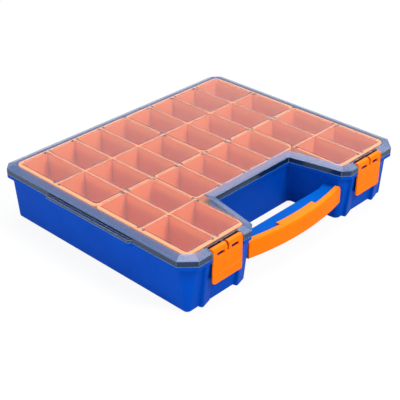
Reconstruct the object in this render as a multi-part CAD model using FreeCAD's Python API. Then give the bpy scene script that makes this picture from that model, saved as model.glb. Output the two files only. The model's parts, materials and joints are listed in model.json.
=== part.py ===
import FreeCAD, Part
import math
import os

# Carry case for small parts: a drafted case with a fixed handle in a front notch, a clear hinged lid with two
# snap latches, and five lift-out trays with slot-in dividers. Millimetres, +Z up, front at -Y. The model is
# drawn about the middle of the compartment grid and moved to the middle of its own footprint at the end.

# Compartment grid seen from above: column lines run 0 to 8 from the left, row lines 0 to 4 from the back
column_pitch = 42.0
row_pitch = 68.0

# Trays and dividers
tray_rise = 8.2
tray_wall = 2.0
tray_floor = 2.0
tray_seam = 0.6
tray_corner_radius = 6.0
tray_rim_reach = 2.6
tray_rim_thickness = 2.0
divider_thickness = 2.0
slot_gap = 0.15
slot_lip_width = 0.8
slot_lip_depth = 0.8
divider_end_gap = 0.3
crossing_gap = 0.2

# Outline of the lid's rim and the case's flange, measured from the grid
side_margin = 14.7
front_margin = 15.5
back_margin = 13.5
front_corner_cut = 16.2
back_corner_cut = 10.0
notch_back_margin = 9.5
notch_margin_back = 20.0
notch_margin_front = 4.2
notch_corner_cut = 8.0
side_lip_reach = 3.5
side_lip_front = -68.0
side_lip_back = 64.0
side_lip_drop = 3.5

# Case
case_height = 60.8
case_floor = 2.5
case_wall = 2.5
flange_thickness = 4.0
wall_inset_top = 5.5
side_inset_bottom = 11.0
front_inset_bottom = 12.0
back_inset_bottom = 8.0
notch_side_front_inset_top = 1.5
notch_side_front_inset_bottom = 4.0
notch_side_back_inset_top = 4.5
notch_side_back_inset_bottom = 13.0
notch_back_inset_top = 2.0
notch_back_inset_bottom = 6.6
front_corner_cut_bottom = 3.0
back_corner_cut_bottom = 3.0
case_corner_radius = 4.0
case_foot_radius = 2.0
upstand_height = 5.5
upstand_thickness = 2.0
rib_depth = 3.5
rib_outer_reach = 31.0
rib_crest_width = 2.5
rib_slope_width = 12.5
rib_bay_reach = 22.5
rear_foot_height = 37.8
rear_foot_inner = 124.0
rear_foot_outer = 162.0

# Lid
skirt_gap = 0.5
seat_gap = 0.3
skirt_wall = 2.0
lid_over_tray = 0.6
plate_thickness = 1.8
bevel_rise = 3.4
bevel_width = 9.0
panel_rise = 0.5
panel_margin = 0.6
panel_corner_radius = 6.0
ridge_width = 6.0
pocket_corner_radius = 4.5

# Latches and the bays they close over
latch_offset = 123.6
latch_width = 44.0
latch_thickness = 2.2
latch_height = 42.7
latch_pivot_drop = 1.0
latch_side_gap = 1.5
latch_bar_radius = 1.75
latch_bar_gap = 0.2
latch_roll_radius = 3.7
latch_mouth = 2.8
latch_face_setback = 0.15
latch_recess_depth = 9.0
latch_slit = 3.0
latch_slit_depth = 10.0
latch_lug_thickness = 2.0
latch_window_width = 11.6
latch_window_height = 4.8
latch_window_offset = 10.8
latch_window_drop = 4.4
latch_corner_radius = 3.0
latch_line_height = 11.0
latch_line_width = 0.8
latch_line_depth = 0.5
latch_bead_height = 2.4
latch_bead_reach = 0.6
catch_gap = 0.3
catch_height = 3.0

# Handle
handle_proud = 0.75
handle_bow = 9.5
grip_drop = 14.3
grip_height = 22.5
grip_wall = 2.2
grip_gap = 0.15
grip_half = 80.4
grip_end_gap = 0.4
grip_wrap = 7.0
grip_wrap_middle = 12.5
grip_middle_half = 31.0
grip_top_radius = 4.0
grip_foot_radius = 2.0
handle_depth = 28.8
bar_wall = 2.5
bar_edge_radius = 2.0
bar_flare_radius = 36.0
bar_flare_reach = 26.0

# Hinge
hinge_offset = 144.0
hinge_behind = 4.3
hinge_drop = 1.8
hinge_radius = 3.6
hinge_pin_radius = 1.5
pin_seat_gap = 0.02
pin_turn_gap = 0.1
lid_knuckle_width = 20.0
case_lug_width = 10.0
knuckle_gap = 0.4
hinge_arm_drop = 0.3
knuckle_web_height = 6.0

# Heights and places that follow from the sizes above
tray_top = case_height + tray_rise
plate_bottom = tray_top + lid_over_tray
plate_top = plate_bottom + plate_thickness
panel_top = plate_top + panel_rise
rim_height = plate_top - bevel_rise
skirt_bottom = case_height + seat_gap
flange_bottom = case_height - flange_thickness
upstand_top = case_height + upstand_height
rear_foot_bottom = flange_bottom - rear_foot_height

half_width = 4 * column_pitch + side_margin
front_y = -(2 * row_pitch + front_margin)
back_y = 2 * row_pitch + back_margin
notch_back_y = -(row_pitch + notch_back_margin)
notch_half_back = 2 * column_pitch - notch_margin_back
notch_half_front = 2 * column_pitch - notch_margin_front

hinge_y = back_y + hinge_behind
hinge_height = case_height - hinge_drop
handle_front_y = front_y - handle_proud
grip_top = case_height - grip_drop
grip_bottom = grip_top - grip_height
bar_top = grip_top - grip_wall - grip_gap
bar_bottom = grip_bottom + grip_wall + grip_gap
latch_face_y = front_y + latch_face_setback
latch_pivot_y = latch_face_y + latch_roll_radius
latch_pivot_height = rim_height - latch_pivot_drop
latch_bottom = latch_pivot_height + latch_roll_radius - latch_height
latch_back_y = latch_face_y + latch_thickness
catch_y = latch_back_y + latch_bead_reach + catch_gap
recess_half = latch_width / 2 + latch_side_gap
recess_back_y = front_y + latch_recess_depth
origin_y = (handle_front_y + hinge_y + hinge_radius) / 2

far = 2 * half_width
over = 1.0
level_limit = 1e-4
parallel_limit = 1e-6
bow_radius = (grip_half ** 2 + handle_bow ** 2) / (2 * handle_bow)
bow_centre_y = handle_front_y + bow_radius


def vec(x, y, z=0.0):
    return FreeCAD.Vector(x, y, z)


def column_x(line):
    return (line - 4) * column_pitch


def row_y(line):
    return (2 - line) * row_pitch


def box(x0, x1, y0, y1, z0, z1):
    return Part.makeBox(x1 - x0, y1 - y0, z1 - z0, vec(x0, y0, z0))


def rod(radius, x0, x1, y, z):
    return Part.makeCylinder(radius, x1 - x0, vec(x0, y, z), vec(1, 0, 0))


def prism(points, z0, z1):
    corners = [vec(x, y, z0) for x, y in points]
    return Part.Face(Part.makePolygon(corners + corners[:1])).extrude(vec(0, 0, z1 - z0))


def section(points, x0, x1):
    # A solid of constant section along X, from (y, z) points
    corners = [vec(x0, y, z) for y, z in points]
    return Part.Face(Part.makePolygon(corners + corners[:1])).extrude(vec(x1 - x0, 0, 0))


def rounded_slab(x0, x1, y0, y1, z0, z1, radii):
    # A slab with round upright corners, radii in the order front left, front right, back right, back left
    middles = [(x0, y0, 1, 1), (x1, y0, -1, 1), (x1, y1, -1, -1), (x0, y1, 1, -1)]
    ends = []
    edges = []
    for index, (x, y, dx, dy) in enumerate(middles):
        radius = radii[index]
        along_y = vec(x, y + dy * radius, z0)
        along_x = vec(x + dx * radius, y, z0)
        bulge = radius * (1 - math.sqrt(0.5))
        first, last = (along_y, along_x) if index % 2 == 0 else (along_x, along_y)
        edges.append(Part.Arc(first, vec(x + dx * bulge, y + dy * bulge, z0), last).toShape())
        ends.append((first, last))
    for index in range(4):
        edges.append(Part.makeLine(ends[index][1], ends[(index + 1) % 4][0]))
    wire = Part.Wire(Part.__sortEdges__(edges))
    return Part.Face(wire).extrude(vec(0, 0, z1 - z0))


def mirrored(shape):
    return shape.mirror(vec(0, 0, 0), vec(1, 0, 0))


def rim_outline():
    # Corner points of the lid's rim, anticlockwise from the notch's back right corner
    side_run = math.hypot(notch_half_front - notch_half_back, notch_back_y - front_y)
    share = 1 - notch_corner_cut / side_run
    right = [
        (notch_half_back, notch_back_y),
        (notch_half_back + share * (notch_half_front - notch_half_back),
         notch_back_y + share * (front_y - notch_back_y)),
        (notch_half_front + notch_corner_cut, front_y),
        (half_width - front_corner_cut, front_y),
        (half_width, front_y + front_corner_cut),
        (half_width, back_y - back_corner_cut),
        (half_width - back_corner_cut, back_y),
    ]
    return right + [(-x, y) for x, y in reversed(right)]


def inset(points, distances):
    # Each edge of an anticlockwise outline moved inward by its own distances at its start and end
    lines = []
    for index, (x0, y0) in enumerate(points):
        x1, y1 = points[(index + 1) % len(points)]
        length = math.hypot(x1 - x0, y1 - y0)
        nx, ny = (y0 - y1) / length, (x1 - x0) / length
        start, end = distances[index]
        ax, ay = x0 + nx * start, y0 + ny * start
        lines.append((ax, ay, x1 + nx * end - ax, y1 + ny * end - ay))
    moved = []
    for index, (x, y, dx, dy) in enumerate(lines):
        px, py, ex, ey = lines[index - 1]
        along = ((x - px) * dy - (y - py) * dx) / (ex * dy - ey * dx)
        moved.append((px + along * ex, py + along * ey))
    return moved


def even_inset(distance):
    outline = rim_outline()
    return inset(outline, [(distance, distance)] * len(outline))


def wall_outline(height, depth):
    # Outline of the case's wall at a height, taken inward by depth from its outer face. The notch's side walls
    # stand further back from the rim at their rear end, more so towards the floor.
    share = height / flange_bottom

    def blend(low, high):
        return low + (high - low) * share + depth

    def low_corner(cut, rim_cut, wall_inset):
        return (cut - rim_cut + wall_inset + side_inset_bottom) / math.sqrt(2)

    side = blend(side_inset_bottom, wall_inset_top)
    front = blend(front_inset_bottom, wall_inset_top)
    rear = blend(back_inset_bottom, wall_inset_top)
    front_low = low_corner(front_corner_cut_bottom, front_corner_cut, front_inset_bottom)
    rear_low = low_corner(back_corner_cut_bottom, back_corner_cut, back_inset_bottom)
    front_corner = blend(front_low, wall_inset_top)
    rear_corner = blend(rear_low, wall_inset_top)
    notch_rear = blend(notch_side_back_inset_bottom, notch_side_back_inset_top)
    notch_fore = blend(notch_side_front_inset_bottom, notch_side_front_inset_top)
    notch_back = blend(notch_back_inset_bottom, notch_back_inset_top)
    leg = (front + notch_fore) / 2
    even = [(leg, leg), (front, front), (front_corner, front_corner), (side, side), (rear_corner, rear_corner)]
    right = [(notch_rear, notch_fore)] + even
    left = even[::-1] + [(notch_fore, notch_rear)]
    return inset(rim_outline(), right + [(rear, rear)] + left + [(notch_back, notch_back)])


def frustum(low, z0, high, z1):
    # A solid between two outlines at different heights; a side whose edges aren't parallel is ruled
    count = len(low)
    bottom = [vec(x, y, z0) for x, y in low]
    top = [vec(x, y, z1) for x, y in high]
    faces = [Part.Face(Part.makePolygon(loop + loop[:1])) for loop in (bottom[::-1], top)]
    for index in range(count):
        after = (index + 1) % count
        loop = [bottom[index], bottom[after], top[after], top[index], bottom[index]]
        twist = (bottom[after] - bottom[index]).normalize().cross((top[after] - top[index]).normalize())
        if twist.Length < parallel_limit:
            faces.append(Part.Face(Part.makePolygon(loop)))
        else:
            low_edge, high_edge = Part.makeLine(loop[0], loop[1]), Part.makeLine(loop[3], loop[2])
            faces.append(Part.makeRuledSurface(low_edge, high_edge))
    return Part.Solid(Part.makeShell(faces))


def steep_edges(solid, z0, z1):
    # Edges that climb from one level to another
    found = []
    for edge in solid.Edges:
        heights = [vertex.Z for vertex in edge.Vertexes]
        if abs(min(heights) - z0) < level_limit and abs(max(heights) - z1) < level_limit:
            found.append(edge)
    return found


def level_edges(solid, z):
    return [edge for edge in solid.Edges if all(abs(vertex.Z - z) < level_limit for vertex in edge.Vertexes)]


def side_lips(reach, z0, z1):
    # The stretch of rim at the middle of each side that stands out
    points = [
        (half_width - skirt_wall / 2, side_lip_front - side_lip_reach),
        (half_width, side_lip_front - side_lip_reach),
        (half_width + reach, side_lip_front - side_lip_reach + reach),
        (half_width + reach, side_lip_back + side_lip_reach - reach),
        (half_width, side_lip_back + side_lip_reach),
        (half_width - skirt_wall / 2, side_lip_back + side_lip_reach),
    ]
    lip = prism(points, z0, z1)
    return lip.fuse(mirrored(lip))


def both_latches(shape):
    # A shape drawn at the right latch, repeated at the left one
    return [shape, mirrored(shape)]


def handle_arc(radius, half):
    # Front edge of the bowed handle at a radius, from left to right
    rise = bow_centre_y - math.sqrt(radius ** 2 - half ** 2)
    return Part.Arc(vec(-half, rise), vec(0, bow_centre_y - radius), vec(half, rise)).toShape(), rise


def handle_bar():
    half = notch_half_front + notch_side_front_inset_bottom
    front_arc, end_y = handle_arc(bow_radius - grip_wall - grip_gap, half)
    back = handle_front_y + handle_depth
    flare_start = half - bar_flare_reach
    flare = bar_flare_radius - math.sqrt(bar_flare_radius ** 2 - bar_flare_reach ** 2)
    middle_reach = bar_flare_reach / 2
    middle = bar_flare_radius - math.sqrt(bar_flare_radius ** 2 - middle_reach ** 2)
    edges = [front_arc, Part.makeLine(vec(-flare_start, back), vec(flare_start, back))]
    for side in (-1, 1):
        start = vec(side * flare_start, back)
        halfway = vec(side * (flare_start + middle_reach), back + middle)
        end = vec(side * half, back + flare)
        edges.append(Part.Arc(start, halfway, end).toShape())
        edges.append(Part.makeLine(end, vec(side * half, end_y)))
    face = Part.Face(Part.Wire(Part.__sortEdges__(edges)))
    face.translate(vec(0, 0, bar_bottom))
    bar = face.extrude(vec(0, 0, bar_top - bar_bottom))
    long_edges = [edge for edge in level_edges(bar, bar_top) if edge.BoundBox.XLength > over]
    bar = bar.makeFillet(bar_edge_radius, long_edges)
    hollow = face.makeOffset2D(-bar_wall)
    return bar.cut(hollow.extrude(vec(0, 0, bar_top - bar_wall - bar_bottom)))


def latch_ribs(centre):
    # Two upright ribs beside a latch bay, steep on the left and sloping away to the right
    ribs = []
    for start in (-rib_outer_reach, rib_bay_reach):
        shapes = []
        for height in (0, flange_bottom):
            wall = wall_outline(height, 0)[2][1]
            deep = wall + case_wall / 2
            left = centre + start
            crest = left + rib_crest_width / 2
            shapes.append([(left, deep), (left, wall), (crest, wall - rib_depth),
                           (crest + rib_crest_width, wall - rib_depth),
                           (crest + rib_crest_width + rib_slope_width, wall),
                           (crest + rib_crest_width + rib_slope_width, deep)])
        ribs.append(frustum(shapes[0], 0, shapes[1], flange_bottom))
    return ribs


def base_case():
    body = frustum(wall_outline(0, 0), 0, wall_outline(flange_bottom, 0), flange_bottom)
    body = body.makeFillet(case_corner_radius, steep_edges(body, 0, flange_bottom))
    body = body.makeFillet(case_foot_radius, level_edges(body, 0))
    ribs = latch_ribs(latch_offset) + latch_ribs(-latch_offset)
    flange = prism(rim_outline(), flange_bottom, case_height)
    body = body.fuse(ribs + [handle_bar(), flange, side_lips(side_lip_reach, flange_bottom, case_height)])

    # Latch bays: the flange is cut away, and a ridge stands on the wall for the latch to close over
    bay_y = wall_outline(flange_bottom, 0)[2][1]
    bay = box(latch_offset - recess_half, latch_offset + recess_half, front_y - far, bay_y,
              flange_bottom - case_wall, case_height + over)
    body = body.cut(both_latches(bay))
    catch_bottom = latch_bottom + latch_bead_height + catch_gap
    catch_half = latch_width / 2 - latch_corner_radius
    deep_y = wall_outline(catch_bottom, case_wall / 2)[2][1]
    ridge_section = [(deep_y, catch_bottom), (catch_y, catch_bottom),
                     (catch_y, catch_bottom + catch_height / 2), (deep_y, catch_bottom + 2 * catch_height)]
    ridge = section(ridge_section, latch_offset - catch_half, latch_offset + catch_half)
    body = body.fuse(both_latches(ridge))

    # Feet on the back wall, upright so that the case can stand on end
    foot_y = back_y - wall_inset_top
    foot = box(rear_foot_inner, rear_foot_outer, foot_y - back_inset_bottom, foot_y,
               rear_foot_bottom, flange_bottom)
    body = body.fuse([foot, mirrored(foot)])

    # Inside: a drafted hollow up to the flange, then the upstand that the lid's skirt closes over
    hollow = frustum(wall_outline(case_floor, case_wall), case_floor,
                     wall_outline(case_height, case_wall), case_height)
    inner_radius = case_corner_radius - case_wall
    hollow = hollow.makeFillet(inner_radius, steep_edges(hollow, case_floor, case_height))
    body = body.cut(hollow)
    upstand_inset = skirt_wall + skirt_gap
    upstand = prism(even_inset(upstand_inset), case_height, upstand_top)
    upstand = upstand.cut(prism(even_inset(upstand_inset + upstand_thickness), case_height, upstand_top))
    gap_half = recess_half + skirt_wall + skirt_gap
    opening = box(latch_offset - gap_half, latch_offset + gap_half, front_y - over,
                  recess_back_y + skirt_wall + skirt_gap, case_height, upstand_top + over)
    upstand = upstand.cut(both_latches(opening))
    sill = box(latch_offset - gap_half, latch_offset + gap_half, bay_y, recess_back_y + skirt_wall,
               flange_bottom, case_height)
    body = body.fuse([upstand] + both_latches(sill))

    # Hinge lugs behind the flange
    inner, outer = hinge_stations()
    arm_top = case_height - hinge_arm_drop
    for start, end in (inner, outer):
        lug = rod(hinge_radius, start, end, hinge_y, hinge_height)
        arm = section([(back_y - flange_thickness, flange_bottom), (hinge_y, hinge_height - hinge_radius),
                       (hinge_y, arm_top), (back_y - flange_thickness, arm_top)], start, end)
        bore = rod(hinge_pin_radius + pin_seat_gap, start - over, end + over, hinge_y, hinge_height)
        lug = lug.fuse(arm).cut(bore)
        body = body.fuse([lug, mirrored(lug)])
    return body.removeSplitter()


def hinge_stations():
    # Inner and outer case lug of the right hinge, along X
    half = lid_knuckle_width / 2 + knuckle_gap
    inner = (hinge_offset - half - case_lug_width, hinge_offset - half)
    outer = (hinge_offset + half, hinge_offset + half + case_lug_width)
    return inner, outer


def hinge_pin():
    inner, outer = hinge_stations()
    return rod(hinge_pin_radius, inner[0], outer[1], hinge_y, hinge_height)


def bow_disc(depth, z0, z1):
    # A round slab whose front edge is the handle's bow, taken back by depth
    return Part.makeCylinder(bow_radius - depth, z1 - z0, vec(0, bow_centre_y, z0))


def handle_stretch(half):
    return box(-half, half, handle_front_y - over, handle_front_y + handle_depth, grip_bottom, grip_top)


def bow_edges(solid, z):
    # Edges along the handle's bowed front at a height
    return [edge for edge in level_edges(solid, z) if edge.BoundBox.XLength > grip_half
            and edge.BoundBox.YMin < handle_front_y + over]


def handle_grip():
    # A sleeve that wraps the bar's front, further over it in the middle, and ends at the legs
    block = bow_disc(0, grip_bottom, grip_top).common(handle_stretch(grip_half))
    block = block.makeFillet(grip_top_radius, bow_edges(block, grip_top))
    block = block.makeFillet(grip_foot_radius, bow_edges(block, grip_bottom))
    wrap = block.cut(bow_disc(grip_wrap, grip_bottom, grip_top))
    middle = block.common(handle_stretch(grip_middle_half))
    middle = middle.cut(bow_disc(grip_wrap_middle, grip_bottom, grip_top))
    inside = bow_disc(grip_wall, bar_bottom - grip_gap, bar_top + grip_gap)
    legs = frustum(wall_outline(0, -grip_end_gap), 0,
                   wall_outline(flange_bottom, -grip_end_gap), flange_bottom)
    return wrap.fuse(middle).cut([inside, legs]).removeSplitter()


def tray_layout():
    # First and last column line, then back and front row line of each tray
    return {
        "back_left": (0, 4, 0, 2),
        "back_right": (4, 8, 0, 2),
        "front_left": (0, 2, 2, 4),
        "front_middle": (2, 6, 2, 3),
        "front_right": (6, 8, 2, 4),
    }


trays = tray_layout()


def tray_bounds(name):
    # Outer faces of a tray: flush with the grid at the case's sides, half a seam back from it elsewhere
    first, last, back, front = trays[name]
    x0 = column_x(first) + (0 if first == 0 else tray_seam / 2)
    x1 = column_x(last) - (0 if last == 8 else tray_seam / 2)
    y0 = row_y(front)
    y1 = row_y(back) - (0 if back == 0 else tray_seam / 2)
    if name.startswith("back"):
        y0 += tray_seam / 2
    return x0, x1, y0, y1


def slot_lips(x, y, dx, dy):
    # Two upright lips that hold a divider's end, at a wall whose inward direction is (dx, dy)
    lips = []
    near = divider_thickness / 2 + slot_gap
    for side in (-1, 1):
        a, b = sorted((side * near, side * (near + slot_lip_width)))
        if dx:
            deep = sorted((x - dx * tray_wall / 2, x + dx * slot_lip_depth))
            lips.append(box(deep[0], deep[1], y + a, y + b, case_floor + tray_floor / 2, tray_top))
        else:
            deep = sorted((y - dy * tray_wall / 2, y + dy * slot_lip_depth))
            lips.append(box(x + a, x + b, deep[0], deep[1], case_floor + tray_floor / 2, tray_top))
    return lips


def divider_lines(name):
    # Column and row lines that divide a tray inside
    first, last, back, front = trays[name]
    return list(range(first + 1, last)), list(range(back + 1, front))


def tray(name):
    x0, x1, y0, y1 = tray_bounds(name)
    first, last, back, front = trays[name]
    left = tray_rim_reach if first == 0 else 0
    right = tray_rim_reach if last == 8 else 0
    rear = tray_rim_reach if back == 0 else 0
    fore = tray_rim_reach if front == 4 else 0
    radius = tray_corner_radius
    shell = rounded_slab(x0, x1, y0, y1, case_floor, tray_top, [radius] * 4)
    corners = []
    for across, along in ((left, fore), (right, fore), (right, rear), (left, rear)):
        corners.append(radius + tray_rim_reach if across and along else radius)
    rim = rounded_slab(x0 - left, x1 + right, y0 - fore, y1 + rear,
                       tray_top - tray_rim_thickness, tray_top, corners)
    hollow = rounded_slab(x0 + tray_wall, x1 - tray_wall, y0 + tray_wall, y1 - tray_wall,
                          case_floor + tray_floor, tray_top + over, [radius - tray_wall] * 4)
    lips = []
    columns, rows = divider_lines(name)
    for line in columns:
        lips += slot_lips(column_x(line), y0 + tray_wall, 0, 1)
        lips += slot_lips(column_x(line), y1 - tray_wall, 0, -1)
    for line in rows:
        lips += slot_lips(x0 + tray_wall, row_y(line), 1, 0)
        lips += slot_lips(x1 - tray_wall, row_y(line), -1, 0)
    return shell.fuse(rim).cut(hollow).fuse(lips).removeSplitter()


def dividers(name):
    # Slot-in dividers of one tray: the long one is cut from above where the cross ones pass, they from below
    x0, x1, y0, y1 = tray_bounds(name)
    columns, rows = divider_lines(name)
    bottom = case_floor + tray_floor
    middle = (bottom + tray_top) / 2
    half = divider_thickness / 2
    slot = half + crossing_gap
    end = tray_wall + divider_end_gap
    pieces = {}
    for line in rows:
        y = row_y(line)
        plate = box(x0 + end, x1 - end, y - half, y + half, bottom, tray_top)
        cuts = []
        for column in columns:
            x = column_x(column)
            cuts.append(box(x - slot, x + slot, y - far, y + far, middle - crossing_gap, tray_top + over))
        pieces["divider_%s_long" % name] = plate.cut(cuts)
    for number, column in enumerate(columns, 1):
        x = column_x(column)
        plate = box(x - half, x + half, y0 + end, y1 - end, bottom, tray_top)
        cuts = [box(x - far, x + far, row_y(line) - slot, row_y(line) + slot, 0, middle) for line in rows]
        pieces["divider_%s_cross_%d" % (name, number)] = plate.cut(cuts) if cuts else plate
    return pieces


def latch_recess(grow, z0, z1):
    # Space for a latch's top in the lid's front edge, grown on its three closed sides
    return box(latch_offset - recess_half - grow, latch_offset + recess_half + grow,
               front_y - far, recess_back_y + grow, z0, z1)


def lid():
    below = skirt_bottom - over
    above = panel_top + over
    skirt = prism(rim_outline(), skirt_bottom, rim_height)
    bevel = frustum(rim_outline(), rim_height, even_inset(bevel_width), plate_top)
    panels = []
    panel_hollows = []
    pockets = []
    pocket_hollows = []
    for name, (first, last, back, front) in trays.items():
        x0, x1 = column_x(first) + panel_margin, column_x(last) - panel_margin
        y0, y1 = row_y(front) + panel_margin, row_y(back) - panel_margin
        panels.append(rounded_slab(x0, x1, y0, y1, rim_height, panel_top, [panel_corner_radius] * 4))
        wall = plate_thickness
        panel_hollows.append(rounded_slab(x0 + wall, x1 - wall, y0 + wall, y1 - wall, below,
                                          plate_bottom + panel_rise, [panel_corner_radius - wall] * 4))
        # Between the pockets a raised ridge stays over each rib of the trays
        half = ridge_width / 2
        for column in range(first, last):
            for row in range(back, front):
                a, b = column_x(column) + half, column_x(column + 1) - half
                c, d = row_y(row + 1) + half, row_y(row) - half
                pockets.append(rounded_slab(a - wall, b + wall, c - wall, d + wall, plate_bottom, plate_top,
                                            [pocket_corner_radius + wall] * 4))
                pocket_hollows.append(rounded_slab(a, b, c, d, plate_top, above, [pocket_corner_radius] * 4))
    lip_top = rim_height - side_lip_drop
    lips = side_lips(side_lip_reach, skirt_bottom, lip_top)
    lip_hollows = side_lips(side_lip_reach - plate_thickness, skirt_bottom, lip_top - plate_thickness)
    lip_hollows = lip_hollows.cut(prism(rim_outline(), skirt_bottom, rim_height))
    outer = skirt.fuse([bevel] + panels)
    outer = outer.cut(both_latches(latch_recess(0, below, above)))

    # Inside of the skirt and bevel, with a wall left round each latch recess
    inner_rim = rim_height - skirt_wall / 2
    inside = prism(even_inset(skirt_wall), below, inner_rim)
    inside = inside.fuse(frustum(even_inset(skirt_wall), inner_rim,
                                 even_inset(bevel_width + skirt_wall / 2), plate_bottom))
    inside = inside.fuse(panel_hollows)
    inside = inside.cut(both_latches(latch_recess(skirt_wall, below - over, above)))
    shell = outer.cut(inside).fuse(pockets).cut(pocket_hollows)
    shell = shell.fuse(lips).cut(lip_hollows)

    # Pivot bar and its middle lug in each recess
    bar = rod(latch_bar_radius, latch_offset - recess_half - skirt_wall / 2,
              latch_offset + recess_half + skirt_wall / 2, latch_pivot_y, latch_pivot_height)
    lug = box(latch_offset - latch_lug_thickness / 2, latch_offset + latch_lug_thickness / 2,
              latch_pivot_y, recess_back_y + skirt_wall / 2,
              latch_pivot_height - latch_bar_radius, latch_pivot_height + latch_bar_radius)
    shell = shell.fuse(both_latches(bar.fuse(lug)))

    # Hinge knuckles behind the rear skirt
    start, end = hinge_offset - lid_knuckle_width / 2, hinge_offset + lid_knuckle_width / 2
    root_y = back_y - skirt_wall / 2
    knuckle = rod(hinge_radius, start, end, hinge_y, hinge_height)
    web = section([(root_y, skirt_bottom), (hinge_y, skirt_bottom), (hinge_y, hinge_height + hinge_radius),
                   (root_y, skirt_bottom + knuckle_web_height)], start, end)
    bore = rod(hinge_pin_radius + pin_turn_gap, start - over, end + over, hinge_y, hinge_height)
    knuckle = knuckle.fuse(web).cut(bore)
    shell = shell.fuse([knuckle, mirrored(knuckle)])
    return shell.removeSplitter()


def latch():
    start, end = latch_offset - latch_width / 2, latch_offset + latch_width / 2
    roll = rod(latch_roll_radius, start, end, latch_pivot_y, latch_pivot_height)
    plate = box(start, end, latch_face_y, latch_back_y, latch_bottom, latch_pivot_height)
    corners = [edge for edge in plate.Edges
               if edge.BoundBox.YLength > over and edge.BoundBox.ZMax < latch_bottom + over]
    plate = plate.makeFillet(latch_corner_radius, corners)
    bead = section([(latch_back_y - latch_thickness / 2, latch_bottom),
                    (latch_back_y + latch_bead_reach, latch_bottom + latch_bead_height / 2),
                    (latch_back_y + latch_bead_reach, latch_bottom + latch_bead_height),
                    (latch_back_y - latch_thickness / 2, latch_bottom + latch_bead_height)],
                   start + latch_corner_radius, end - latch_corner_radius)
    body = roll.fuse([plate, bead])
    bore = rod(latch_bar_radius + latch_bar_gap, start - over, end + over,
               latch_pivot_y, latch_pivot_height)
    mouth = box(start - over, end + over, latch_pivot_y, latch_pivot_y + far,
                latch_pivot_height - latch_mouth / 2, latch_pivot_height + latch_mouth / 2)
    roll_top = latch_pivot_height + latch_roll_radius
    slit = box(latch_offset - latch_slit / 2, latch_offset + latch_slit / 2,
               latch_face_y - over, latch_face_y + far, roll_top - latch_slit_depth, roll_top + over)
    windows = []
    window_top = latch_pivot_height - latch_window_drop + latch_window_height / 2
    for side in (-1, 1):
        middle = latch_offset + side * latch_window_offset
        windows.append(box(middle - latch_window_width / 2, middle + latch_window_width / 2,
                           latch_face_y - over, latch_face_y + far,
                           window_top - latch_window_height, window_top))
    line_z = latch_bottom + latch_line_height
    line = section([(latch_face_y - latch_line_depth, line_z - latch_line_width),
                    (latch_face_y + latch_line_depth, line_z),
                    (latch_face_y - latch_line_depth, line_z + latch_line_width)],
                   start + latch_corner_radius, end - latch_corner_radius)
    return body.cut([bore, mouth, slit, line] + windows).removeSplitter()


def export(name, shape):
    shape.translate(vec(0, -origin_y, 0))
    if len(shape.Solids) != 1 or not shape.isValid():
        print("check", name, "solids", len(shape.Solids), "valid", shape.isValid())
    shape.Solids[0].exportStep("parts/%s.step" % name)


def main():
    os.makedirs("parts", exist_ok=True)
    export("base_case", base_case())
    export("handle_grip", handle_grip())
    export("lid", lid())
    export("latch_left", mirrored(latch()))
    export("latch_right", latch())
    for name in trays:
        export("tray_" + name, tray(name))
        for piece, shape in dividers(name).items():
            export(piece, shape)
    export("hinge_pin_left", mirrored(hinge_pin()))
    export("hinge_pin_right", hinge_pin())


main()
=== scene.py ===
import json
import math

import bmesh
import bpy
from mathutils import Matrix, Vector


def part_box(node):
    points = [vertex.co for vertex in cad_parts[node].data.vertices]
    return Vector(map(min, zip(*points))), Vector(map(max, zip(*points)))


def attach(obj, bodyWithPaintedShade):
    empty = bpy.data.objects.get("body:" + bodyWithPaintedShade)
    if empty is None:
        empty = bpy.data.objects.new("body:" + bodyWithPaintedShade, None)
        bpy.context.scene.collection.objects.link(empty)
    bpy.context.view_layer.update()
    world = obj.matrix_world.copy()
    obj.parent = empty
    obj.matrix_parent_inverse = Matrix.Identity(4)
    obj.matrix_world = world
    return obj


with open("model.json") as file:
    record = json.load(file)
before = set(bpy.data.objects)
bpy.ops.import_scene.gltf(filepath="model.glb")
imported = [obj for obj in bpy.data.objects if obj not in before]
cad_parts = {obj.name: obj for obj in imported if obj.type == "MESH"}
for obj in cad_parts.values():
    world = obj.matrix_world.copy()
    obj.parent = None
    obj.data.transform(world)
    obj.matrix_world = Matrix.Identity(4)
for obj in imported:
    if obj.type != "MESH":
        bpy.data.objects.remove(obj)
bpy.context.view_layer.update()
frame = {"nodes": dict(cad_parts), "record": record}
nodes = frame["nodes"]
print("frame loaded:", len(nodes), "nodes")


def addNode(tree, kind, **settings):
    node = tree.nodes.new("ShaderNode" + kind)
    for key, value in settings.items():
        setattr(node, key, value)
    return node


def feed(tree, socket, value):
    # A socket takes either another node's output or a plain value
    if isinstance(value, bpy.types.NodeSocket):
        tree.links.new(value, socket)
    else:
        socket.default_value = value


def sums(tree, operation, first, second=0.0, clamp=False):
    node = addNode(tree, "Math", operation=operation, use_clamp=clamp)
    feed(tree, node.inputs[0], first)
    feed(tree, node.inputs[1], second)
    return node.outputs[0]


def spread(tree, value, span, result=(0.0, 1.0)):
    # Stretches a span of values over a result, held at both ends
    node = addNode(tree, "MapRange")
    for index, item in enumerate((value, *span, *result)):
        feed(tree, node.inputs[index], item)
    return node.outputs[0]


def mixColour(tree, share, first, second):
    node = addNode(tree, "Mix", data_type="RGBA")
    feed(tree, node.inputs[0], share)
    feed(tree, node.inputs[6], first)
    feed(tree, node.inputs[7], second)
    return node.outputs[2]


def mixShader(tree, share, first, second):
    node = addNode(tree, "MixShader")
    feed(tree, node.inputs[0], share)
    tree.links.new(first, node.inputs[1])
    tree.links.new(second, node.inputs[2])
    return node.outputs[0]


def noise(tree, place, scale, detail):
    node = addNode(tree, "TexNoise")
    tree.links.new(place, node.inputs["Vector"])
    node.inputs["Scale"].default_value = scale
    node.inputs["Detail"].default_value = detail
    return node.outputs["Fac"]


def ownPlace(tree):
    return addNode(tree, "TexCoord").outputs["Object"]


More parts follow.
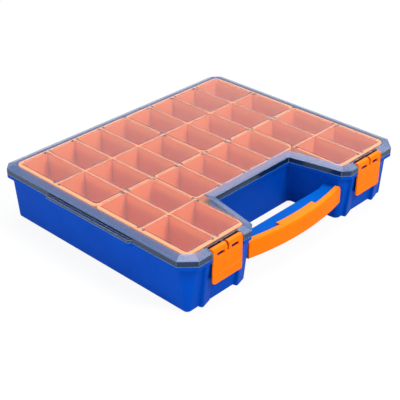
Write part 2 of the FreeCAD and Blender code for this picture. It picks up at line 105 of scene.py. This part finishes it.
def heightOf(tree, vector):
    parts = addNode(tree, "SeparateXYZ")
    tree.links.new(vector, parts.inputs[0])
    return parts.outputs["Z"]


def faceNormal(tree):
    return addNode(tree, "NewGeometry").outputs["Normal"]


def addRelief(tree, height, strength, depth, normal=None):
    node = addNode(tree, "Bump")
    node.inputs["Strength"].default_value = strength
    node.inputs["Distance"].default_value = depth
    tree.links.new(height, node.inputs["Height"])
    if normal is not None:
        tree.links.new(normal, node.inputs["Normal"])
    return node.outputs[0]


edgeTest = {"samples": 6, "turnSpan": (0.995, 0.8)}


def softEdge(tree, radius):
    # Rounded normal near an edge, and how far it turns away from the flat face
    bevel = addNode(tree, "Bevel", samples=edgeTest["samples"])
    bevel.inputs["Radius"].default_value = radius
    dot = addNode(tree, "VectorMath", operation="DOT_PRODUCT")
    tree.links.new(bevel.outputs[0], dot.inputs[0])
    tree.links.new(faceNormal(tree), dot.inputs[1])
    return bevel.outputs[0], spread(tree, dot.outputs["Value"], edgeTest["turnSpan"])


def newFinish(name):
    material = bpy.data.materials.new(name)
    material.use_nodes = True
    tree = material.node_tree
    return material, tree, tree.nodes["Principled BSDF"]


def showSurface(tree, surface):
    tree.links.new(surface, tree.nodes["Material Output"].inputs["Surface"])


# What all the moulded plastics share
moulding = {
    "mottleDetail": 3.0, "mottleSpan": (0.3, 0.7), "grainDetail": 2.0, "grainSpan": (0.25, 0.75),
    "paintedTopSpan": (0.7, 0.95), "smoother": 0.05, "rougher": 0.07, "depth": 0.0002,
}
# In each look the tone for upward faces is painted light (painted shade on the slot shadow discs), and the
# paler edge tone is partly rubbed wear, partly a painted edge highlight
caseBlue = {
    "colour": (0.0, 0.056, 0.395, 1), "deep": (0.0, 0.049, 0.36, 1),
    "wornAndHighlight": (0.0, 0.18, 0.66, 1), "top": (0.0, 0.082, 0.42, 1),
    "rough": 0.42, "mottle": 30, "grain": 900, "relief": 0.15, "edge": 0.0009, "rubAndHighlight": 0.7, "gloss": 0.02,
}
gripOrange = {
    "colour": (0.92, 0.155, 0.0, 1), "deep": (0.89, 0.142, 0.0, 1),
    "wornAndHighlight": (1.0, 0.38, 0.05, 1), "top": (1.0, 0.205, 0.015, 1),
    "rough": 0.46, "mottle": 40, "grain": 1100, "relief": 0.18, "edge": 0.0009, "rubAndHighlight": 0.8, "gloss": 0.03,
}
trayOrange = {
    "colour": (0.87, 0.205, 0.042, 1), "deep": (0.84, 0.192, 0.036, 1),
    "wornAndHighlight": (1.0, 0.47, 0.21, 1), "top": (1.0, 0.31, 0.10, 1),
    "rough": 0.34, "mottle": 26, "grain": 800, "relief": 0.10, "edge": 0.0008, "rubAndHighlight": 1.0, "gloss": 0.1,
}
# Near-black colours for the discs that paint the shadow in the divider slots
slotShadowDark = {
    "colour": (0.014, 0.006, 0.004, 1), "deep": (0.010, 0.005, 0.003, 1),
    "wornAndHighlight": (0.03, 0.01, 0.006, 1), "top": (0.008, 0.004, 0.003, 1),
    "rough": 0.5, "mottle": 60, "grain": 900, "relief": 0.1, "edge": 0.0002, "rubAndHighlight": 0.4, "gloss": 0.3,
}


def mouldedFinish(name, look):
    # Faint mottling, a fine grain in gloss and relief, a painted light tone on upward faces, and paler edges
    # that are partly rubbed wear and partly a painted edge highlight
    material, tree, shader = newFinish(name)
    place = ownPlace(tree)
    mottle = noise(tree, place, look["mottle"], moulding["mottleDetail"])
    grain = noise(tree, place, look["grain"], moulding["grainDetail"])
    normal, turn = softEdge(tree, look["edge"])
    bodyWithPaintedShade = mixColour(tree, spread(tree, mottle, moulding["mottleSpan"]), look["colour"], look["deep"])
    # Upward faces take another tone: painted light from above, or painted shade on the slot shadow discs
    top = spread(tree, heightOf(tree, faceNormal(tree)), moulding["paintedTopSpan"])
    bodyWithPaintedShade = mixColour(tree, top, bodyWithPaintedShade, look["top"])
    # Paler towards edges: partly rubbed wear, partly a painted edge highlight
    rubbedAndHighlighted = sums(tree, "MULTIPLY", turn, sums(tree, "MULTIPLY", mottle, look["rubAndHighlight"], True))
    feed(tree, shader.inputs["Base Color"], mixColour(tree, rubbedAndHighlighted, bodyWithPaintedShade, look["wornAndHighlight"]))
    roughSpan = (look["rough"] - moulding["smoother"], look["rough"] + moulding["rougher"])
    feed(tree, shader.inputs["Roughness"], spread(tree, grain, moulding["grainSpan"], roughSpan))
    relief = addRelief(tree, grain, look["relief"], moulding["depth"], normal)
    feed(tree, shader.inputs["Normal"], relief)
    shader.inputs["Specular IOR Level"].default_value = look["gloss"]
    return material


lidClear = {
    # The darker upright tint and the skirt's frost and mirror colours are painted shade; the pale edge frost
    # colour is a painted highlight
    "tint": (0.975, 0.978, 0.99, 1), "deep": (0.96, 0.965, 0.985, 1), "skirtShadeTint": (0.38, 0.45, 0.50, 1),
    "bend": 1.49, "rough": 0.03, "smoother": 0.01, "rougher": 0.02, "edge": 0.0006,
    "smear": 24, "smearDetail": 4.0, "smearSpan": (0.3, 0.7),
    "grain": 700, "grainDetail": 2.0, "grainSpan": (0.3, 0.7), "relief": 0.006, "depth": 0.0001,
    # Where a face counts as upright or as the border's slope, by its normal's Z
    "uprightSpan": (0.5, 0.1), "slopeFlat": (0.99, 0.97), "slopeSteep": (0.8, 0.9), "skirtDrop": 0.0025,
    "veil": (0.055, 0.105, 0.24, 1), "veilDeep": (0.045, 0.09, 0.21, 1),
    "skirtPaintedShade": (0.004, 0.018, 0.045, 1), "paintedEdgeHighlight": (0.70, 0.76, 0.88, 1),
    "mirror": (0.62, 0.72, 1.0, 1), "skirtShadedMirror": (0.25, 0.42, 0.85, 1),
    "frostGloss": 1.0, "frostRough": (0.12, 0.2),
    "haze": 0.01, "slopeHaze": 0.5, "skirtShadeShare": 0.75, "edgeHighlightShare": 0.15,
}


def clearFinish(name, look):
    # Bends and mirrors what is around it, lets the lamps through, and is frosted on slope, skirt and edges;
    # the skirt's darker tint and dark frost are painted shade, which also dims the lamplight let through
    # there, and the pale frost on edges is a painted highlight
    material, tree, shader = newFinish(name)
    place = ownPlace(tree)
    smear = noise(tree, place, look["smear"], look["smearDetail"])
    grain = noise(tree, place, look["grain"], look["grainDetail"])
    normal, turn = softEdge(tree, look["edge"])
    lean = sums(tree, "ABSOLUTE", heightOf(tree, faceNormal(tree)))
    upright = spread(tree, lean, look["uprightSpan"])
    skirtTop = max(corner[2] for corner in nodes["lid"].bound_box) - look["skirtDrop"]
    belowTop = sums(tree, "LESS_THAN", heightOf(tree, place), skirtTop)
    skirt = sums(tree, "MULTIPLY", upright, belowTop)
    # The skirt's darker tint is painted shade, and it also dims the lamplight passing through the skirt
    bodyWithPaintedShade = mixColour(tree, skirt, mixColour(tree, smear, look["tint"], look["deep"]), look["skirtShadeTint"])
    feed(tree, shader.inputs["Base Color"], bodyWithPaintedShade)
    roughSpan = (look["rough"] - look["smoother"], look["rough"] + look["rougher"])
    feed(tree, shader.inputs["Roughness"], spread(tree, smear, look["smearSpan"], roughSpan))
    shader.inputs["IOR"].default_value = look["bend"]
    shader.inputs["Transmission Weight"].default_value = 1.0
    relief = addRelief(tree, grain, look["relief"], look["depth"], normal)
    feed(tree, shader.inputs["Normal"], relief)

    frost = addNode(tree, "BsdfPrincipled")
    veil = mixColour(tree, smear, look["veil"], look["veilDeep"])
    # Near-black frost and a dimmer mirror tint on the skirt: painted shade
    veil = mixColour(tree, skirt, veil, look["skirtPaintedShade"])
    # Pale frost along edges: painted highlight
    feed(tree, frost.inputs["Base Color"], mixColour(tree, turn, veil, look["paintedEdgeHighlight"]))
    frost.inputs["Specular IOR Level"].default_value = look["frostGloss"]
    mirror = mixColour(tree, skirt, look["mirror"], look["skirtShadedMirror"])
    feed(tree, frost.inputs["Specular Tint"], mirror)
    feed(tree, frost.inputs["Roughness"], spread(tree, grain, look["grainSpan"], look["frostRough"]))
    feed(tree, frost.inputs["Normal"], relief)
    notFlat = spread(tree, lean, look["slopeFlat"])
    slope = sums(tree, "MULTIPLY", notFlat, spread(tree, lean, look["slopeSteep"]))
    haze = look["haze"]
    for mask, share in ((slope, "slopeHaze"), (skirt, "skirtShadeShare"), (turn, "edgeHighlightShare")):
        haze = sums(tree, "ADD", sums(tree, "MULTIPLY", mask, look[share]), haze, True)
    frosted = mixShader(tree, haze, shader.outputs[0], frost.outputs[0])

    ray = addNode(tree, "LightPath")
    lamplight = sums(tree, "ADD", ray.outputs["Is Shadow Ray"], ray.outputs["Is Diffuse Ray"], True)
    through = addNode(tree, "BsdfTransparent")
    feed(tree, through.inputs["Color"], bodyWithPaintedShade)
    showSurface(tree, mixShader(tree, lamplight, frosted, through.outputs[0]))
    return material


pinSteel = {
    "colour": (0.58, 0.58, 0.60, 1), "deep": (0.42, 0.42, 0.44, 1),
    "rough": 0.3, "smoother": 0.08, "rougher": 0.1,
    "draw": (20, 1400, 1400), "drawScale": 1.0, "drawDetail": 3.0, "drawSpan": (0.2, 0.8),
    "relief": 0.1, "depth": 0.0001,
}


def steelFinish(name, look):
    # Fine lines drawn out along the wire
    material, tree, shader = newFinish(name)
    stretch = addNode(tree, "Mapping")
    tree.links.new(ownPlace(tree), stretch.inputs["Vector"])
    stretch.inputs["Scale"].default_value = look["draw"]
    lines = noise(tree, stretch.outputs[0], look["drawScale"], look["drawDetail"])
    feed(tree, shader.inputs["Base Color"], mixColour(tree, lines, look["colour"], look["deep"]))
    roughSpan = (look["rough"] - look["smoother"], look["rough"] + look["rougher"])
    feed(tree, shader.inputs["Roughness"], spread(tree, lines, look["drawSpan"], roughSpan))
    shader.inputs["Metallic"].default_value = 1.0
    feed(tree, shader.inputs["Normal"], addRelief(tree, lines, look["relief"], look["depth"]))
    return material


finishes = {
    "case_blue": mouldedFinish("moulded blue", caseBlue),
    "grip_orange": mouldedFinish("moulded orange", gripOrange),
    "tray_orange": mouldedFinish("tray orange", trayOrange),
    "lid_clear": clearFinish("clear lid plastic", lidClear),
    "pin_steel": steelFinish("drawn wire", pinSteel),
}
slotShadowFinish = mouldedFinish("slot shadow brown", slotShadowDark)


def dress(obj, material):
    obj.data.materials.clear()
    obj.data.materials.append(material)


for part in frame["record"]["subparts"]:
    dress(nodes[part["node"]], finishes[part["material_slot"]])
print("finishes on the CAD nodes")


# Small near-black discs on the tray rims, a pair at both ends of every divider: painted shadow of the divider
# slots
stops = {"radius": 0.0018, "taper": 0.8, "height": 0.00045, "aside": 0.0037, "inset": 0.0012, "sides": 16}


def addSlotShadowDisc(mesh, x, y, z):
    made = bmesh.ops.create_cone(
        mesh, cap_ends=True, segments=stops["sides"], radius1=stops["radius"],
        radius2=stops["radius"] * stops["taper"], depth=stops["height"])
    bmesh.ops.translate(mesh, verts=made["verts"], vec=(x, y, z + stops["height"] / 2))


def placeSlotShadowDiscs():
    mesh = bmesh.new()
    for name in nodes:
        if not name.startswith("divider"):
            continue
        low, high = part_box(name)
        middle = (low + high) / 2
        alongX = high.x - low.x > high.y - low.y
        for end in (-1, 1):
            for side in (-stops["aside"], stops["aside"]):
                if alongX:
                    reach = (high.x - low.x) / 2 + stops["inset"]
                    addSlotShadowDisc(mesh, middle.x + end * reach, middle.y + side, high.z)
                else:
                    reach = (high.y - low.y) / 2 + stops["inset"]
                    addSlotShadowDisc(mesh, middle.x + side, middle.y + end * reach, high.z)
    data = bpy.data.meshes.new("divider_stops")
    mesh.to_mesh(data)
    mesh.free()
    piece = bpy.data.objects.new("divider_stops", data)
    bpy.context.scene.collection.objects.link(piece)
    dress(piece, slotShadowFinish)
    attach(piece, "base")


placeSlotShadowDiscs()
print("divider stops placed")


def backgroundRays(tree):
    # Rays that see the white background: straight from the camera, mirrored, or through clear plastic
    ray = addNode(tree, "LightPath")
    seen = sums(tree, "ADD", ray.outputs["Is Camera Ray"], ray.outputs["Is Glossy Ray"], True)
    return sums(tree, "ADD", seen, ray.outputs["Is Transmission Ray"], True)


paleFloor = {
    "reach": 4.0, "drop": 0.0004, "paper": (0.80, 0.80, 0.80, 1), "speckle": (0.78, 0.78, 0.78, 1),
    "speckleScale": 60, "speckleDetail": 2.0, "rough": 0.9, "white": 1.0, "whiteShare": 0.9,
}


def addFloor():
    reach, level = paleFloor["reach"], -paleFloor["drop"]
    corners = [(x * reach, y * reach, level) for x, y in ((-1, -1), (1, -1), (1, 1), (-1, 1))]
    data = bpy.data.meshes.new("floor")
    data.from_pydata(corners, [], [(0, 1, 2, 3)])
    floor = bpy.data.objects.new("floor", data)
    bpy.context.scene.collection.objects.link(floor)
    material, tree, shader = newFinish("pale floor")
    speckle = noise(tree, ownPlace(tree), paleFloor["speckleScale"], paleFloor["speckleDetail"])
    feed(tree, shader.inputs["Base Color"], mixColour(tree, speckle, paleFloor["paper"], paleFloor["speckle"]))
    shader.inputs["Roughness"].default_value = paleFloor["rough"]
    shader.inputs["Specular IOR Level"].default_value = 0.0
    glow = addNode(tree, "Emission")
    glow.inputs["Strength"].default_value = paleFloor["white"]
    # The rest of the share is the lit paper, which keeps the object's shadow
    white = sums(tree, "MULTIPLY", backgroundRays(tree), paleFloor["whiteShare"])
    showSurface(tree, mixShader(tree, white, shader.outputs[0], glow.outputs[0]))
    dress(floor, material)


# The room's light grows from the horizon up to this height on the unit sky
room = {"tint": (0.95, 0.97, 1.0, 1), "heightSpan": (0.0, 0.6), "strength": (0.28, 0.74)}


def addRoom():
    world = bpy.data.worlds.new("studio")
    bpy.context.scene.world = world
    world.use_nodes = True
    tree = world.node_tree
    backdrop = tree.nodes["Background"]
    backdrop.inputs["Color"].default_value = (1, 1, 1, 1)
    roomLight = addNode(tree, "Background")
    roomLight.inputs["Color"].default_value = room["tint"]
    height = heightOf(tree, addNode(tree, "TexCoord").outputs["Generated"])
    feed(tree, roomLight.inputs["Strength"], spread(tree, height, room["heightSpan"], room["strength"]))
    mix = mixShader(tree, backgroundRays(tree), roomLight.outputs[0], backdrop.outputs[0])
    tree.links.new(mix, tree.nodes["World Output"].inputs["Surface"])


lamps = {
    "front window": {
        "place": (0.25, -1.25, 1.30), "target": (0, 0, 0.05), "size": (0.5, 0.5),
        "power": 23.5, "tint": (1.0, 0.99, 0.97)},
    "left board": {
        "place": (-1.4, -0.15, 0.40), "target": (0, 0, 0.04), "size": (0.9, 0.3),
        "power": 7.5, "tint": (0.97, 0.98, 1.0)},
    "right board": {
        "place": (0.99, 0.16, 1.25), "target": (0, 0, 0.05), "size": (0.8, 0.8),
        "power": 3.5, "tint": (1.0, 1.0, 1.0)},
    "overhead board": {
        "place": (0.15, 0.25, 1.6), "target": (0, 0, 0.05), "size": (1.0, 1.0),
        "power": 11.0, "tint": (1.0, 1.0, 1.0)},
}


def addLamp(name, look):
    lamp = bpy.data.lights.new(name, "AREA")
    lamp.shape = "RECTANGLE"
    lamp.size, lamp.size_y = look["size"]
    lamp.energy = look["power"]
    lamp.color = look["tint"]
    holder = bpy.data.objects.new(name, lamp)
    holder.location = look["place"]
    aim = Vector(look["target"]) - Vector(look["place"])
    holder.rotation_euler = aim.to_track_quat("-Z", "Y").to_euler()
    bpy.context.scene.collection.objects.link(holder)


view = {
    "turn": -46.423, "rise": 30.735, "distance": 1.060878, "target": (-0.081732, -0.074311, 0.0694),
    "lens": 87.84, "film": 36.0,
}


def addCamera():
    turn, rise = math.radians(view["turn"]), math.radians(view["rise"])
    back = Vector((math.sin(turn) * math.cos(rise), -math.cos(turn) * math.cos(rise), math.sin(rise)))
    eye = bpy.data.cameras.new("photo view")
    eye.lens = view["lens"]
    eye.sensor_width = view["film"]
    camera = bpy.data.objects.new("photo view", eye)
    camera.location = Vector(view["target"]) + back * view["distance"]
    camera.rotation_euler = (-back).to_track_quat("-Z", "Y").to_euler()
    bpy.context.scene.collection.objects.link(camera)
    bpy.context.scene.camera = camera


addFloor()
addRoom()
for lampName, lampLook in lamps.items():
    addLamp(lampName, lampLook)
addCamera()
bpy.context.scene.view_settings.view_transform = "Standard"
print("stage, lamps and camera set")
